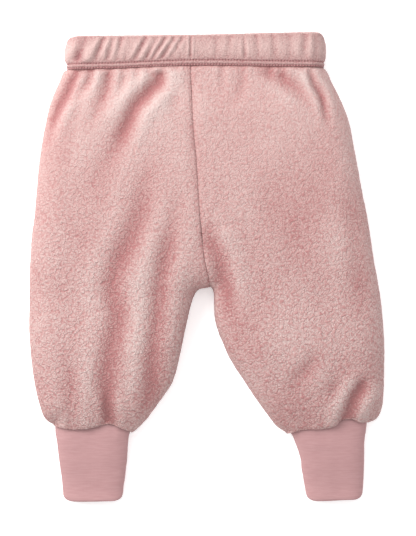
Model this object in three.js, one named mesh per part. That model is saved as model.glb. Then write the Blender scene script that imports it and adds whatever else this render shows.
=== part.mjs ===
// Baby's fleece trousers with an elasticated waist and long knitted cuffs, lying on their back panels.
// Millimetres. X runs across the trousers, Y from the cuffs up to the waist, Z up from the surface they lie on.
// The origin is the middle of the trousers' outline, on that surface. Left and right are as seen from above.
import * as THREE from "three";

// ---- Garment sizes, flat ----
const waistWidth = 205; // across the relaxed elastic
const hipWidth = 255; // half way down the rise
const seatWidth = 276; // at the crotch
const legSpread = 280; // across both legs at their fullest
const rise = 203; // top of the waistband to the crotch
const inseam = 168; // crotch to the cuffs' free edges
const bandHeight = 27.5;
const cuffLength = 57; // below the fleece
const cuffTopWidth = 60;
const cuffEndWidth = 47;
const cuffSetIn = 16.5; // from the fullest part of a leg's side in to the cuff's side

// ---- Loft: how high each part stands as it lies ----
const bandLoft = 26;
const seatLoft = 32;
const legLoft = 36;
const hemLoft = 30;
const cuffLoft = 18;
const cuffEndLoft = 15;

// ---- Cloth, elastic and thread ----
const fleece = 2.5;
const knit = 1.4;
const knitGap = 0.5; // between the two layers of a cuff
const elasticThickness = 1.4;
const elasticWidth = 19;
const allowanceWidth = 5; // overlocked seam allowance
const allowanceThickness = 1.6;
const inseamDiameter = 3;
const cuffJoinDiameter = 1.6;
const threadThickness = 0.6;
const rowSpacing = 3.6; // between the two stitch rows
const rowInset = 0.7; // lower row above the waistband's lower edge
const labelWidth = 26;
const labelLength = 32;
const labelThickness = 0.6;

// ---- How the trousers lie ----
const leanSlope = -0.0387; // the waist lies a little to the left of the cuffs
const leanAtMiddle = -2.1;
const bandLift = 1.2; // the waistband's underside, so that its stitches clear the surface
const archRadius = 7; // of the gap between the legs at the crotch
const foldBelowCrotch = 24; // where the legs fold up over the seat
const cuffTuck = 4.5; // how far a cuff goes up inside the fleece
const clearance = 0.3;
const cuffFit = 0.5; // between a cuff and the fleece round it

// ---- Levels ----
const top = (rise + inseam) / 2;
const bandBottom = top - bandHeight;
const crotch = top - rise;
const cuffEnd = crotch - inseam;
const hem = cuffEnd + cuffLength;
const fold = crotch - foldBelowCrotch;
const archMiddle = crotch - archRadius;
const fleeceLeg = crotch - hem;
const seatDepth = bandBottom - crotch;
const tuckTop = hem + cuffTuck;

// ---- Outlines along Y: half widths and heights, between levels ----
function along(pairs) {
  const ordered = [...pairs].sort((a, b) => a[0] - b[0]);
  const curve = new THREE.CubicInterpolant(
    ordered.map((pair) => pair[0]),
    ordered.map((pair) => pair[1]),
    1,
  );
  return (y) => curve.evaluate(y)[0];
}

const lean = (y) => leanAtMiddle + leanSlope * y;
const cuffMiddle = legSpread / 2 - cuffSetIn - cuffTopWidth / 2;
const hemHalf = cuffTopWidth / 2 + cuffFit + fleece;
const hemTotalLoft = cuffLoft + 2 * (cuffFit + fleece);

const outerHalf = along([
  [bandBottom, waistWidth / 2],
  [bandBottom - 0.2 * seatDepth, waistWidth / 2 + 0.54 * (hipWidth - waistWidth) / 2],
  [bandBottom - 0.5 * seatDepth, hipWidth / 2],
  [crotch, seatWidth / 2],
  [crotch - 0.36 * fleeceLeg, legSpread / 2],
  [crotch - 0.69 * fleeceLeg, legSpread / 2 - 0.15 * cuffSetIn],
  [crotch - 0.9 * fleeceLeg, legSpread / 2 - 0.4 * cuffSetIn],
  [hem, cuffMiddle + hemHalf],
]);
const gapGrowth = cuffMiddle - hemHalf - archRadius; // from the crotch to the hem
const gapHalf = along([
  [archMiddle, archRadius],
  [crotch - 0.25 * fleeceLeg, archRadius + 0.065 * gapGrowth],
  [crotch - 0.38 * fleeceLeg, archRadius + 0.16 * gapGrowth],
  [crotch - 0.69 * fleeceLeg, archRadius + 0.42 * gapGrowth],
  [crotch - 0.9 * fleeceLeg, archRadius + 0.73 * gapGrowth],
  [hem, archRadius + gapGrowth],
]);
const loft = along([
  [bandBottom, bandLoft],
  [bandBottom - 0.25 * seatDepth, seatLoft],
  [crotch, seatLoft],
  [crotch - 0.45 * fleeceLeg, legLoft],
  [crotch - 0.85 * fleeceLeg, hemLoft],
  [hem, hemTotalLoft],
]);
const underside = (y) => bandLift * THREE.MathUtils.smoothstep(y, bandBottom - 20, bandBottom);

// ---- Solids ----
// A closed mesh from points and quads, facing out.
function closedMesh(points, quads) {
  const index = quads.flatMap(([a, b, c, d]) => [a, b, c, a, c, d]);
  let volume = 0;
  for (let i = 0; i < index.length; i += 3) {
    const [a, b, c] = [points[index[i]], points[index[i + 1]], points[index[i + 2]]];
    volume += a.dot(b.clone().cross(c));
  }
  if (volume < 0) index.reverse();
  const geometry = new THREE.BufferGeometry().setFromPoints(points).setIndex(index);
  geometry.computeVertexNormals();
  return geometry;
}

// A ring-shaped solid whose wall section runs through the given loops, from each one to the next and back
// to the first. All loops have the same number of points.
function ringSolid(loops) {
  const n = loops[0].length;
  const quads = [];
  loops.forEach((loop, i) => {
    const next = (i + 1) % loops.length;
    for (let k = 0; k < n; k++) {
      const k2 = (k + 1) % n;
      quads.push([i * n + k, i * n + k2, next * n + k2, next * n + k]);
    }
  });
  return closedMesh(loops.flat(), quads);
}

// A sheet solid between two grids of points, rows of equal length, closed round its four edges.
function sheetSolid(outside, inside) {
  const rows = outside.length;
  const columns = outside[0].length;
  const at = (face, row, column) => (face * rows + row) * columns + column;
  const [lastRow, lastColumn] = [rows - 1, columns - 1];
  const quads = [];
  for (let r = 0; r < lastRow; r++) {
    for (let c = 0; c < lastColumn; c++) {
      quads.push([at(0, r, c), at(0, r, c + 1), at(0, r + 1, c + 1), at(0, r + 1, c)]);
      quads.push([at(1, r, c), at(1, r + 1, c), at(1, r + 1, c + 1), at(1, r, c + 1)]);
    }
    quads.push([at(0, r, 0), at(0, r + 1, 0), at(1, r + 1, 0), at(1, r, 0)]);
    quads.push([
      at(0, r, lastColumn),
      at(1, r, lastColumn),
      at(1, r + 1, lastColumn),
      at(0, r + 1, lastColumn),
    ]);
  }
  for (let c = 0; c < lastColumn; c++) {
    quads.push([at(0, 0, c), at(1, 0, c), at(1, 0, c + 1), at(0, 0, c + 1)]);
    quads.push([
      at(0, lastRow, c),
      at(0, lastRow, c + 1),
      at(1, lastRow, c + 1),
      at(1, lastRow, c),
    ]);
  }
  return closedMesh([...outside, ...inside].flat(), quads);
}

// A flattened tube's outline at level y: straight above and below, with round sides. inset moves it inwards.
const sideSteps = 8;
function flatLoop(y, middle, width, bottom, height, inset) {
  const r = height / 2;
  const reach = width / 2 - r;
  const points = [];
  for (const side of [1, -1]) {
    for (let k = 0; k <= sideSteps; k++) {
      const angle = side * (Math.PI * k / sideSteps - Math.PI / 2);
      points.push(
        new THREE.Vector3(
          middle + side * (reach + (r - inset) * Math.cos(angle)),
          y,
          bottom + r + (r - inset) * Math.sin(angle),
        ),
      );
    }
  }
  return points;
}

const steps = (from, to, count) =>
  Array.from({ length: count + 1 }, (_, k) => from + (to - from) * k / count);

// ---- Fleece panels ----
// Each panel wraps from the front rise round the side of the leg to the back rise, and below the crotch
// its two edges meet along the inseam. Where cloth turns over at an edge it follows a round of the loft's radius.
const cornerSteps = 5;
const flatSteps = 4;

function edges(side, y) {
  const middle = lean(y);
  const arc = Math.sqrt(Math.max(0, archRadius ** 2 - (y - archMiddle) ** 2));
  const half = y > archMiddle ? Math.max(arc, clearance / 2) : gapHalf(y);
  return { inner: middle + side * half, outer: middle + side * outerHalf(y) };
}

function skin(side, x, y, face, depth) {
  const { inner, outer } = edges(side, y);
  const r = loft(y) / 2;
  const toOuter = Math.abs(outer - x);
  const fromArch = new THREE.Vector2(x - lean(y), y - archMiddle);
  const aboveArch = y > archMiddle;
  const toInner = aboveArch ? fromArch.length() - archRadius : Math.abs(x - inner);
  const nearInner = toInner < toOuter;
  const inwards = new THREE.Vector2(nearInner ? side : -side, 0);
  if (nearInner && aboveArch) inwards.copy(fromArch).normalize();
  const cos = Math.max(0, 1 - Math.min(toInner, toOuter) / r);
  const sin = Math.sqrt(1 - cos * cos);
  const least = nearInner ? clearance / 2 : 0;
  return new THREE.Vector3(
    x + inwards.x * cos * depth,
    y + inwards.y * cos * depth,
    underside(y) + r + face * Math.max(least, (r - depth) * sin),
  );
}

function panelRow(side, y, depth) {
  const { inner, outer } = edges(side, y);
  const r = loft(y) / 2;
  const rounding = steps(0, Math.PI / 2, cornerSteps).map((angle) => r * (1 - Math.cos(angle)));
  const across = [
    ...rounding.map((in_) => inner + side * in_),
    ...steps(inner + side * r, outer - side * r, flatSteps).slice(1, -1),
    ...rounding.map((in_) => outer - side * in_).reverse(),
  ];
  const front = across.map((x) => skin(side, x, y, 1, depth));
  const back = across.slice(0, -1).map((x) => skin(side, x, y, -1, depth));
  return [...front, ...back.reverse()];
}

function panel(side, levels) {
  return sheetSolid(
    levels.map((y) => panelRow(side, y, 0)),
    levels.map((y) => panelRow(side, y, fleece)),
  );
}

const roundedAbove = crotch + seatLoft / 2;
const seatLevels = [
  ...steps(bandBottom - clearance, roundedAbove, 8),
  ...steps(roundedAbove, crotch, 5).slice(1),
  ...steps(crotch, archMiddle, 3).slice(1),
  ...steps(archMiddle, fold + clearance / 2, 2).slice(1),
];
const legLevels = [
  ...steps(fold - clearance / 2, crotch - 0.85 * fleeceLeg, 5),
  ...steps(crotch - 0.85 * fleeceLeg, hem, 5).slice(1),
];

// ---- Waistband ----
const bandMiddle = lean(bandBottom);
const channelDepth = elasticThickness + 2 * clearance;
const bandWall = 2 * fleece + channelDepth;
const bandLoop = (y, inset) =>
  flatLoop(y, bandMiddle, waistWidth, bandLift, bandLoft, inset);

// A loop of cloth folded over along one edge, with a gap between its layers that is open at the other edge.
function foldedLoop(loop, openEdge, foldedEdge, layer, gap) {
  const across = steps(openEdge, foldedEdge, 2);
  const inFold = foldedEdge - Math.sign(foldedEdge - openEdge) * layer;
  const rounded = layer / 2;
  return ringSolid([
    ...across.slice(0, -1).map((y) => loop(y, 0)),
    loop(foldedEdge - Math.sign(foldedEdge - openEdge) * rounded, 0),
    loop(foldedEdge, rounded),
    loop(foldedEdge, 2 * layer + gap - rounded),
    loop(foldedEdge - Math.sign(foldedEdge - openEdge) * rounded, 2 * layer + gap),
    ...across.slice(0, -1).reverse().map((y) => loop(y, 2 * layer + gap)),
    loop(openEdge, layer + gap),
    loop(inFold, layer + gap),
    loop(inFold, layer),
    loop(openEdge, layer),
  ]);
}

// A plain loop between two levels, from inset outside to inset outside + thickness.
function plainLoop(loop, from, to, outside, thickness) {
  return ringSolid([
    loop(from, outside),
    loop(to, outside),
    loop(to, outside + thickness),
    loop(from, outside + thickness),
  ]);
}

const elasticBottom = bandBottom + rowInset + rowSpacing + threadThickness + clearance; // above the stitches
const stitchOutside = -clearance - threadThickness;
const stitchRow = (y) =>
  plainLoop(bandLoop, y, y + threadThickness, stitchOutside, threadThickness);

// ---- Cuffs ----
const cuffWall = 2 * knit + knitGap;
const roundEnd = 5; // over which a cuff's corners round off
const cuffBase = cuffFit + fleece;

// A cuff's outline at level y: it narrows towards its free edge and comes down to the surface.
function cuffLoop(side) {
  return (y, inset) => {
    const share = THREE.MathUtils.clamp((tuckTop - y) / (tuckTop - cuffEnd), 0, 1);
    const width = THREE.MathUtils.lerp(cuffTopWidth, cuffEndWidth, share);
    const height = THREE.MathUtils.lerp(cuffLoft, cuffEndLoft, share);
    const toEnd = Math.max(0, 1 - (y - cuffEnd) / roundEnd);
    const narrowing = roundEnd * (1 - Math.sqrt(1 - 0.6 * toEnd * toEnd));
    const sink = THREE.MathUtils.smoothstep(y, cuffEnd + roundEnd, hem);
    const middle = lean(hem) + side * cuffMiddle;
    return flatLoop(y, middle, width - 2 * narrowing, cuffBase * sink, height, inset);
  };
}

function cuff(side) {
  const loop = cuffLoop(side);
  const layer = knit;
  const total = cuffWall;
  const walls = [...steps(tuckTop, cuffEnd + roundEnd, 3), ...steps(cuffEnd + roundEnd, cuffEnd, 3).slice(1)];
  const outsideLoops = walls.map((y, i) => loop(y, i === walls.length - 1 ? layer / 2 : 0));
  const insideLoops = walls.map((y, i) => loop(y, i === walls.length - 1 ? total - layer / 2 : total));
  const channel = steps(tuckTop, cuffEnd + roundEnd, 3);
  return ringSolid([
    ...outsideLoops,
    ...insideLoops.reverse(),
    ...channel.map((y) => loop(y, layer + knitGap)),
    ...channel.map((y) => loop(y, layer)).reverse(),
  ]);
}

const cuffSeam = (side) =>
  plainLoop(cuffLoop(side), tuckTop + clearance, tuckTop + clearance + allowanceWidth, 0, allowanceThickness);

// ---- Seams ----
// A flat seam allowance inside the front or back, along the middle from the waistband to above the crotch.
function riseSeam(face) {
  const levels = steps(bandBottom - clearance, roundedAbove, 8);
  const row = (depth) => (y) =>
    [-1, 1].map((end) => {
      const r = loft(y) / 2 - depth;
      return new THREE.Vector3(
        lean(y) + end * allowanceWidth / 2,
        y,
        underside(y) + loft(y) / 2 + face * r,
      );
    });
  const depth = fleece + clearance;
  return sheetSolid(levels.map(row(depth)), levels.map(row(depth + allowanceThickness)));
}

// A round rod of thread and cut edges through the given points.
function rod(points, diameter, count) {
  const section = new THREE.Shape().absarc(0, 0, diameter / 2, 0, 2 * Math.PI);
  return new THREE.ExtrudeGeometry(section, {
    extrudePath: new THREE.CatmullRomCurve3(points),
    steps: count,
    curveSegments: 5,
    bevelEnabled: false,
  });
}

const seamInset = fleece + clearance + inseamDiameter / 2;
function inseamPoint(side, y) {
  const slope = (edges(side, y + 1).inner - edges(side, y - 1).inner) / 2;
  const inset = fleece + (2 * clearance + inseamDiameter / 2) * Math.hypot(1, slope);
  return new THREE.Vector3(edges(side, y).inner + side * inset, y, underside(y) + loft(y) / 2);
}

function legInseam(side) {
  const levels = steps(fold - 2 * clearance, tuckTop + 2 * (allowanceWidth + inseamDiameter), 10);
  return rod(levels.map((y) => inseamPoint(side, y)), inseamDiameter, 12);
}

// The inseam where it passes over the crotch from one leg to the other, inside the cloth.
function crotchSeam() {
  const radius = archRadius + seamInset + clearance;
  const over = steps(Math.PI, 0, 6).map(
    (angle) =>
      new THREE.Vector3(
        lean(archMiddle) + radius * Math.cos(angle),
        archMiddle + radius * Math.sin(angle),
        loft(archMiddle) / 2,
      ),
  );
  const foot = fold + 2 * clearance;
  return rod([inseamPoint(-1, foot), ...over, inseamPoint(1, foot)], inseamDiameter, 20);
}

// The short seam that joins a cuff's strip into a tube, inside it, in line with the inseam.
function cuffJoin(side) {
  const inset = cuffWall + 2 * clearance + cuffJoinDiameter / 2;
  const points = steps(tuckTop - 1, cuffEnd + roundEnd, 4).map((y) => {
    const loop = cuffLoop(side)(y, inset);
    const ends = loop.filter((p) => Math.abs(p.z - (loop[0].z + loop[sideSteps].z) / 2) < 0.01);
    return ends.reduce((a, b) => (Math.abs(a.x) < Math.abs(b.x) ? a : b));
  });
  return rod(points, cuffJoinDiameter, 6);
}

// A plain woven label, sewn in under the waistband at the middle of the back.
function label() {
  const bottom = fleece + allowanceThickness + 2 * clearance + bandLift;
  const shape = new THREE.Shape()
    .moveTo(-labelWidth / 2, 0)
    .lineTo(labelWidth / 2, 0)
    .lineTo(labelWidth / 2, labelLength)
    .lineTo(-labelWidth / 2, labelLength);
  const geometry = new THREE.ExtrudeGeometry(shape, { depth: labelThickness, bevelEnabled: false });
  return geometry.translate(bandMiddle, bandBottom - clearance - labelLength, bottom);
}

// ---- Finishes ----
const cloth = (color, roughness) =>
  new THREE.MeshStandardMaterial({ color: new THREE.Color(...color), roughness, metalness: 0 });
const pinkFleece = cloth([0.7, 0.43, 0.4], 0.95);
const pinkKnit = cloth([0.6, 0.34, 0.34], 0.85);
const pinkThread = cloth([0.6, 0.3, 0.31], 0.6);
const whiteElastic = cloth([0.85, 0.84, 0.82], 0.7);
const whiteLabel = cloth([0.9, 0.89, 0.87], 0.6);

// ---- Assembly ----
const trousers = new THREE.Group();

function add(name, geometry, material) {
  const mesh = new THREE.Mesh(geometry, material);
  mesh.name = name;
  trousers.add(mesh);
}

add("waistband", foldedLoop(bandLoop, bandBottom, top, fleece, channelDepth), pinkFleece);
add(
  "waist_elastic",
  plainLoop(bandLoop, elasticBottom, elasticBottom + elasticWidth, fleece + clearance, elasticThickness),
  whiteElastic,
);
add("waist_stitch_lower", stitchRow(bandBottom + rowInset), pinkThread);
add("waist_stitch_upper", stitchRow(bandBottom + rowInset + rowSpacing), pinkThread);
add("front_rise_seam", riseSeam(1), pinkThread);
add("back_rise_seam", riseSeam(-1), pinkThread);
add("crotch_seam", crotchSeam(), pinkThread);
add("size_label", label(), whiteLabel);

for (const [name, side] of [["left", -1], ["right", 1]]) {
  add(`${name}_panel_seat`, panel(side, seatLevels), pinkFleece);
  add(`${name}_panel_leg`, panel(side, legLevels), pinkFleece);
  add(`${name}_inseam`, legInseam(side), pinkThread);
  add(`${name}_cuff_seam`, cuffSeam(side), pinkThread);
  add(`${name}_cuff`, cuff(side), pinkKnit);
  add(`${name}_cuff_join_seam`, cuffJoin(side), pinkThread);
}

export default trousers;
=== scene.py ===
import math

import bpy
import numpy as np
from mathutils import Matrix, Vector


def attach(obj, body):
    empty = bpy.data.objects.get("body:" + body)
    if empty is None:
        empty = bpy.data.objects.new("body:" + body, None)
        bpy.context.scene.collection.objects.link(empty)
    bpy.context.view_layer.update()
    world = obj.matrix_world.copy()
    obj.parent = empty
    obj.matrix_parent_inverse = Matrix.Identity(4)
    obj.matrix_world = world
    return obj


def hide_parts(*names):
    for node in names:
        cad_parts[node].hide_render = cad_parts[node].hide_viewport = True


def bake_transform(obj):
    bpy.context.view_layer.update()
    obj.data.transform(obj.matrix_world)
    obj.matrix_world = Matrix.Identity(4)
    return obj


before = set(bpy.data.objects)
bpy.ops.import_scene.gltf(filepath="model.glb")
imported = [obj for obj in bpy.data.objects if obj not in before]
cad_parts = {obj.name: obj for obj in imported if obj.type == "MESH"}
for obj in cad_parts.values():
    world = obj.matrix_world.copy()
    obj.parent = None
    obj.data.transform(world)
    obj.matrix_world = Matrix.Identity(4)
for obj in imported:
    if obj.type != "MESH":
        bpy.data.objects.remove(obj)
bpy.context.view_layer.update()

# Lengths in this script are millimetres, in the part's frame; make_mesh turns them into metres.
MM = 0.001

# ---- Sizes that the pieces share ----
CLOTH = 2.5  # thickness of the fleece without its pile
BAND_LIFT = 1.2  # the waistband's underside
BAND_LOFT = 26.0
BAND_WALL = 7.0  # two layers of fleece and the elastic between them
BAND_LEFT, BAND_RIGHT = -110.6, 94.0
BAND_CORNER = 5.5  # radius at the top of each end
CUFF_BASE = 3.4  # a cuff's underside where it enters the fleece
CUFF_LOFT, CUFF_END_LOFT = 18.0, 15.0
CUFF_WALL = 3.3  # two layers of knit with a little air between them
KNIT = 1.4
HEM_STANDOFF = 2.6  # of the fleece's turned edge round the cuff
SEED = 7


# ---- Curves ----
def monotone(xs, ys):
    """A smooth curve through points, with no overshoot, as a function."""
    xs, ys = np.array(xs, float), np.array(ys, float)
    if xs[0] > xs[-1]:
        xs, ys = xs[::-1], ys[::-1]
    h, d = np.diff(xs), np.diff(ys) / np.diff(xs)
    m = np.concatenate([[d[0]], np.zeros(len(d) - 1), [d[-1]]])
    for k in range(1, len(d)):
        if d[k - 1] * d[k] > 0:
            a, b = 2 * h[k] + h[k - 1], h[k] + 2 * h[k - 1]
            m[k] = (a + b) / (a / d[k - 1] + b / d[k])

    def at(x):
        x = np.clip(np.asarray(x, float), xs[0], xs[-1])
        k = np.clip(np.searchsorted(xs, x) - 1, 0, len(h) - 1)
        t = (x - xs[k]) / h[k]
        return (
            ys[k] * (1 + 2 * t) * (1 - t) ** 2
            + ys[k + 1] * t * t * (3 - 2 * t)
            + h[k] * (m[k] * t * (1 - t) ** 2 - m[k + 1] * t * t * (1 - t))
        )

    return at


def line_through(points, n=400):
    """n points evenly along a smooth line through the given ones, and its length."""
    p = np.array(points, float)
    chord = np.concatenate([[0], np.cumsum(np.linalg.norm(np.diff(p, axis=0), axis=1))])
    t = np.linspace(0, chord[-1], 6 * n)
    dense = np.stack([monotone(chord, p[:, k])(t) for k in range(p.shape[1])], axis=1)
    along = np.concatenate([[0], np.cumsum(np.linalg.norm(np.diff(dense, axis=0), axis=1))])
    even = np.linspace(0, along[-1], n)
    return np.stack([np.interp(even, along, dense[:, k]) for k in range(p.shape[1])], axis=1), along[-1]


def smoothstep(x, a, b):
    t = np.clip((np.asarray(x, float) - a) / (b - a), 0, 1)
    return t * t * (3 - 2 * t)


def distance_to(line, points):
    """For each point, how far it is from a polyline, and how far along its nearest place is, 0 to 1."""
    a, b = line[:-1], line[1:]
    d = b - a
    length = np.maximum((d * d).sum(1), 1e-9)
    best = np.full(len(points), 1e9)
    along = np.zeros(len(points))
    for k in range(len(a)):
        v = points - a[k]
        t = np.clip((v @ d[k]) / length[k], 0, 1)
        off = v - t[:, None] * d[k]
        r = np.hypot(off[:, 0], off[:, 1])
        near = r < best
        best = np.where(near, r, best)
        along = np.where(near, (k + t) / len(a), along)
    return best, along


# ---- Noise ----
def lattice(ix, iy, iz, seed):
    h = (ix * 374761393 + iy * 668265263 + iz * 2147483647 + seed * 1274126177) & 0xFFFFFFFF
    h = ((h ^ (h >> 13)) * 1274126177) & 0xFFFFFFFF
    return ((h ^ (h >> 16)) & 0xFFFF) / 32767.5 - 1


def noise(p, size, seed=0):
    """Smooth noise from about -1 to 1 at points p, with bumps about size across."""
    q = np.asarray(p, float) / size + 1000.5
    i = np.floor(q).astype(np.int64)
    f = q - i
    f = f * f * f * (f * (6 * f - 15) + 10)
    total = np.zeros(len(q))
    for corner in range(8):
        dx, dy, dz = corner & 1, (corner >> 1) & 1, corner >> 2
        weight = (
            (f[:, 0] if dx else 1 - f[:, 0])
            * (f[:, 1] if dy else 1 - f[:, 1])
            * (f[:, 2] if dz else 1 - f[:, 2])
        )
        total += weight * lattice(i[:, 0] + dx, i[:, 1] + dy, i[:, 2] + dz, seed + SEED)
    return total


def curls(p, seed=0):
    """Height, 0 to 1, of a curly pile: worm-like tufts with narrow crevices between them."""
    warp = np.stack([noise(p, 2.6, seed + k) for k in (1, 2, 3)], axis=1)
    q = p + 1.3 * warp
    shade_tone = np.abs(noise(q, 2.3, seed + 4))
    return np.clip(shade_tone / 0.32, 0, 1) ** 0.7


# ---- Meshes ----
def add_object(name, data):
    made = bpy.data.objects.new(name, data)
    bpy.context.scene.collection.objects.link(made)
    return made


def make_mesh(name, points, faces, material, crease_shade=None):
    """A named piece from points in millimetres, with each point's place, and its crease depth, which its
    material paints as shade (and as light where the depth is negative).
    """
    points = np.array(points)
    points[:, 2] = np.maximum(points[:, 2], 0.03)  # it lies on a flat surface
    mesh = bpy.data.meshes.new(name)
    mesh.from_pydata((points * MM).tolist(), [], faces)
    mesh.validate()
    mesh.polygons.foreach_set("use_smooth", [len(face.vertices) <= 4 for face in mesh.polygons])
    place = mesh.attributes.new("cloth_place", "FLOAT_VECTOR", "POINT")
    place.data.foreach_set("vector", (points * MM).astype(np.float32).ravel())
    depth = mesh.attributes.new("crease_shade", "FLOAT", "POINT")
    values = np.zeros(len(points)) if crease_shade is None else crease_shade
    depth.data.foreach_set("value", np.asarray(values, np.float32))
    mesh.materials.append(material)
    return add_object(name, mesh)


def grid_normals(g, top, closed_columns=False):
    """Unit normals of a grid of points, rows by columns, turned so that the one at top faces up."""
    du = np.gradient(g, axis=1)
    if closed_columns:
        du = (np.roll(g, -1, axis=1) - np.roll(g, 1, axis=1)) / 2
    dv = np.gradient(g, axis=0)
    n = np.cross(du, dv)
    n /= np.maximum(np.linalg.norm(n, axis=2, keepdims=True), 1e-9)
    return -n if n[top][2] < 0 else n


def two_skins(outer, inner, step):
    """Faces of a closed sheet: a fine outer grid, and an inner one of every step-th row and column."""
    rows, columns = outer.shape[:2]
    r2, c2 = inner.shape[:2]
    o = np.arange(rows * columns).reshape(rows, columns)
    i = rows * columns + np.arange(r2 * c2).reshape(r2, c2)
    faces = np.stack([o[:-1, :-1], o[:-1, 1:], o[1:, 1:], o[1:, :-1]], axis=-1).reshape(-1, 4).tolist()
    faces += np.stack([i[:-1, :-1], i[1:, :-1], i[1:, 1:], i[:-1, 1:]], axis=-1).reshape(-1, 4).tolist()
    for edge, coarse, turned in (
        (o[0, :], i[0, :], False),
        (o[-1, :], i[-1, :], True),
        (o[:, 0], i[:, 0], True),
        (o[:, -1], i[:, -1], False),
    ):
        for k in range(len(coarse) - 1):
            fine = edge[k * step : (k + 1) * step + 1].tolist()
            face = fine[::-1] + [int(coarse[k]), int(coarse[k + 1])]
            faces.append(face[::-1] if turned else face)
    return faces


def ring_faces(g):
    """Faces of a closed tube of rings, facing out; the last ring joins the first."""
    rows, cols = g.shape[:2]
    index = np.arange(rows * cols).reshape(rows, cols)
    nxt = np.roll(index, -1, axis=1)
    down, down_next = np.roll(index, -1, axis=0), np.roll(nxt, -1, axis=0)
    faces = np.stack([index, nxt, down_next, down], axis=-1).reshape(-1, 4)
    a, b, c = (g.reshape(-1, 3)[faces[:, k]] for k in range(3))
    if (a * np.cross(b, c)).sum() < 0:
        faces = faces[:, ::-1]
    return faces.tolist()


# ---- The panels' outline as they lie ----
SEAM = [(-12.2, 158.5), (-10.3, 115), (-7.3, 82), (-4.2, 34), (-1.2, 8), (2.2, -8), (3.9, -16.4)]
LEFT = {
    "side": -1,
    "outer": [
        (-109.2, 158.5), (-110.5, 156.6), (-112.2, 154.3), (-114.3, 151.2), (-117.7, 143.4),
        (-124.6, 124.4), (-130.4, 96), (-132.8, 77), (-135, 48.6), (-138.3, 15.4),
        (-139.8, -13), (-139.8, -41.5), (-139, -60.4), (-137.5, -79.4), (-134.6, -98.4),
        (-131.9, -110), (-129.0, -118), (-125.5, -121.9), (-121.2, -124.2),
    ],
    "free": [
        (3.9, -16.4), (1.5, -16.7), (-1.5, -17.1), (-4.2, -17.9), (-6.4, -19.2), (-8.0, -21.2), (-9.0, -23.8),
        (-10.0, -27.5), (-11.4, -32), (-15.8, -51), (-19.8, -70),
        (-25.3, -88.9), (-30.5, -98.4), (-36.6, -107.8), (-43.5, -117.3), (-49.5, -124.2), (-57.2, -130.8),
    ],
    "hem": [(0, 0), (0.21, -2.2), (0.4, -0.6), (0.52, 1.7), (0.7, 4.8), (0.82, 3.6), (0.9, 2.0), (1, 0)],
    "hem_back": [(0, 0), (0.15, -1.5), (0.33, 1.8), (0.55, -0.8), (0.75, 2.0), (1, 0)],
}
RIGHT = {
    "side": 1,
    "outer": [
        (92.2, 158.5), (93.0, 157.2), (94.3, 155.2), (96.4, 152.2), (98.8, 147.9),
        (105.9, 133.9), (113, 115), (117.7, 91), (123.2, 62.8), (128.8, 34.4),
        (133.5, 1.2), (137.8, -27.3), (139.8, -51), (140.6, -70), (140.8, -90), (140.1, -104), (138.0, -114),
        (134.6, -119.6), (129.6, -122.4),
    ],
    "free": [
        (3.9, -16.4), (4.7, -17.0), (5.3, -18.4), (5.6, -20.8), (5.7, -24.5), (5.7, -32),
        (6.3, -41.5), (8.7, -51), (12.6, -60.4), (16.6, -70),
        (22, -79.4), (28.4, -89), (34.5, -98.4), (41, -107.8), (48.2, -117.8), (54.8, -126), (62.5, -131.2),
    ],
    "hem": [(0, 0), (0.11, 1.2), (0.23, 4.3), (0.32, 4.6), (0.41, 1.5), (0.59, -0.3), (0.81, 0.9), (1, 0)],
    "hem_back": [(0, 0), (0.2, 1.6), (0.42, -1.2), (0.62, 1.5), (0.85, -0.9), (1, 0)],
}

# ---- Folds on the front: points along each valley, depth, half width, length of the fade at either end ----
LEFT_FOLDS = [
    ([(-100.5, 158), (-108.8, 139.1), (-117.4, 125.2), (-124, 107.8), (-128, 88)], 4.6, 4.6, 0.05, 0.55),
    ([(-88.8, 158), (-92.5, 147), (-98.8, 137), (-106, 122)], 2.5, 3.2, 0.05, 0.6),
    ([(-74.6, 158), (-78.6, 139), (-86.9, 118.9), (-95, 98)], 2.4, 4.2, 0.05, 0.7),
    ([(-62, 158), (-66.5, 143), (-72, 129)], 1.4, 3.0, 0.05, 0.7),
    (
        [(-37.3, 156.8), (-36.6, 148), (-45.3, 137), (-54.3, 127.2), (-60, 114.5), (-68, 96), (-76, 74)],
        5.4, 5.4, 0.06, 0.72,
    ),
    ([(-55, 128), (-66, 108), (-80, 76), (-93, 40)], 1.7, 11.0, 0.3, 0.6),
    (
        [(-30, 112), (-37, 96.8), (-46.6, 70.7), (-50, 44.6), (-66.8, 5.5), (-72.7, -18.6), (-68.7, -37.5),
         (-74.3, -67.5), (-78.2, -97.6), (-75.8, -124)],
        3.1, 8.5, 0.5, 0.0,
    ),
    (
        [(-14.5, 78), (-18.3, 63.6), (-27.7, 26), (-34, -6.7), (-37, -32), (-41, -67.5), (-42.5, -97.6),
         (-50, -118)],
        2.7, 6.8, 0.45, 0.15,
    ),
    ([(-76, -88), (-76.5, -105), (-75.8, -126)], 3.2, 3.6, 0.6, 0.0),
    ([(-104, -60), (-104.5, -90), (-103, -118)], 1.4, 7.0, 0.5, 0.25),
    ([(-30, 152), (-24, 128), (-21, 104)], 1.2, 6.0, 0.3, 0.6),
]
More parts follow.
